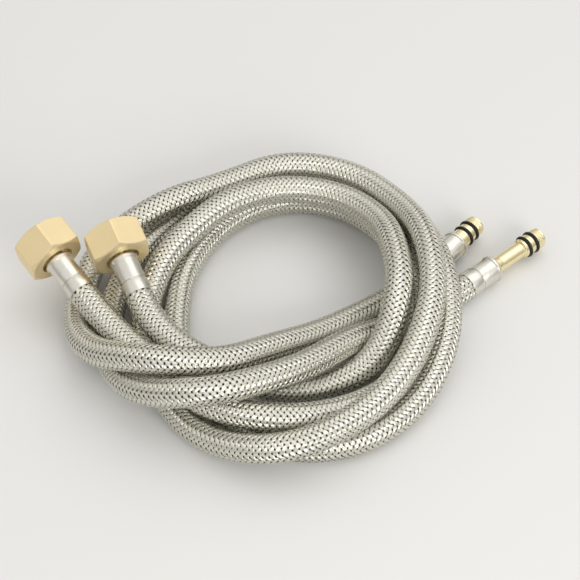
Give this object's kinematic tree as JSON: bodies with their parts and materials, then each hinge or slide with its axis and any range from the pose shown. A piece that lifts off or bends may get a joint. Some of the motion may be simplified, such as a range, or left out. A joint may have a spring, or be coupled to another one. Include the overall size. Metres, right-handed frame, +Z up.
{
  "type": "braided supply line",
  "caption": "Pair of stainless-braided flexible tap hoses, loosely coiled, each with a loose hexagon nut at one end and a turned brass tail with O-rings at the other.",
  "frame": {"origin": "on the surface that the hoses lie on, below the middle of their end fittings", "axes": "+Z up; +X from the nuts towards the tails; +Y away from the viewer"},
  "size_m": [0.2465, 0.181, 0.0488],
  "materials": {
    "braid": "stainless steel wire braid over a rubber liner",
    "liner": "black rubber",
    "steel": "satin stainless steel, crimped",
    "brass": "turned brass",
    "nut_brass": "pale satin brass",
    "washer": "black rubber",
    "o_ring": "black rubber"
  },
  "bodies": {
    "hoses": {"hose_a": "braid", "nut_liner_a": "liner", "nut_ferrule_a": "steel", "insert_a": "brass", "washer_a": "washer", "tail_liner_a": "liner", "tail_ferrule_a": "steel", "tail_a": "brass", "o_ring_a1": "o_ring", "o_ring_a2": "o_ring", "hose_b": "braid", "nut_liner_b": "liner", "nut_ferrule_b": "steel", "insert_b": "brass", "washer_b": "washer", "tail_liner_b": "liner", "tail_ferrule_b": "steel", "tail_b": "brass", "o_ring_b1": "o_ring", "o_ring_b2": "o_ring"},
    "nut_a": {"swivel_nut_a": "nut_brass"},
    "nut_b": {"swivel_nut_b": "nut_brass"}
  },
  "joints": [
    {"name": "nut_a_spin", "type": "hinge", "parent": "hoses", "child": "nut_a", "pos_m": [-0.10565, -0.0099, 0.03041], "axis": [-0.6106, 0.7541, 0.2419], "continuous": true},
    {"name": "nut_b_spin", "type": "hinge", "parent": "hoses", "child": "nut_b", "pos_m": [-0.0754, -0.00989, 0.03181], "axis": [-0.4082, 0.8754, 0.2588], "continuous": true}
  ]
}
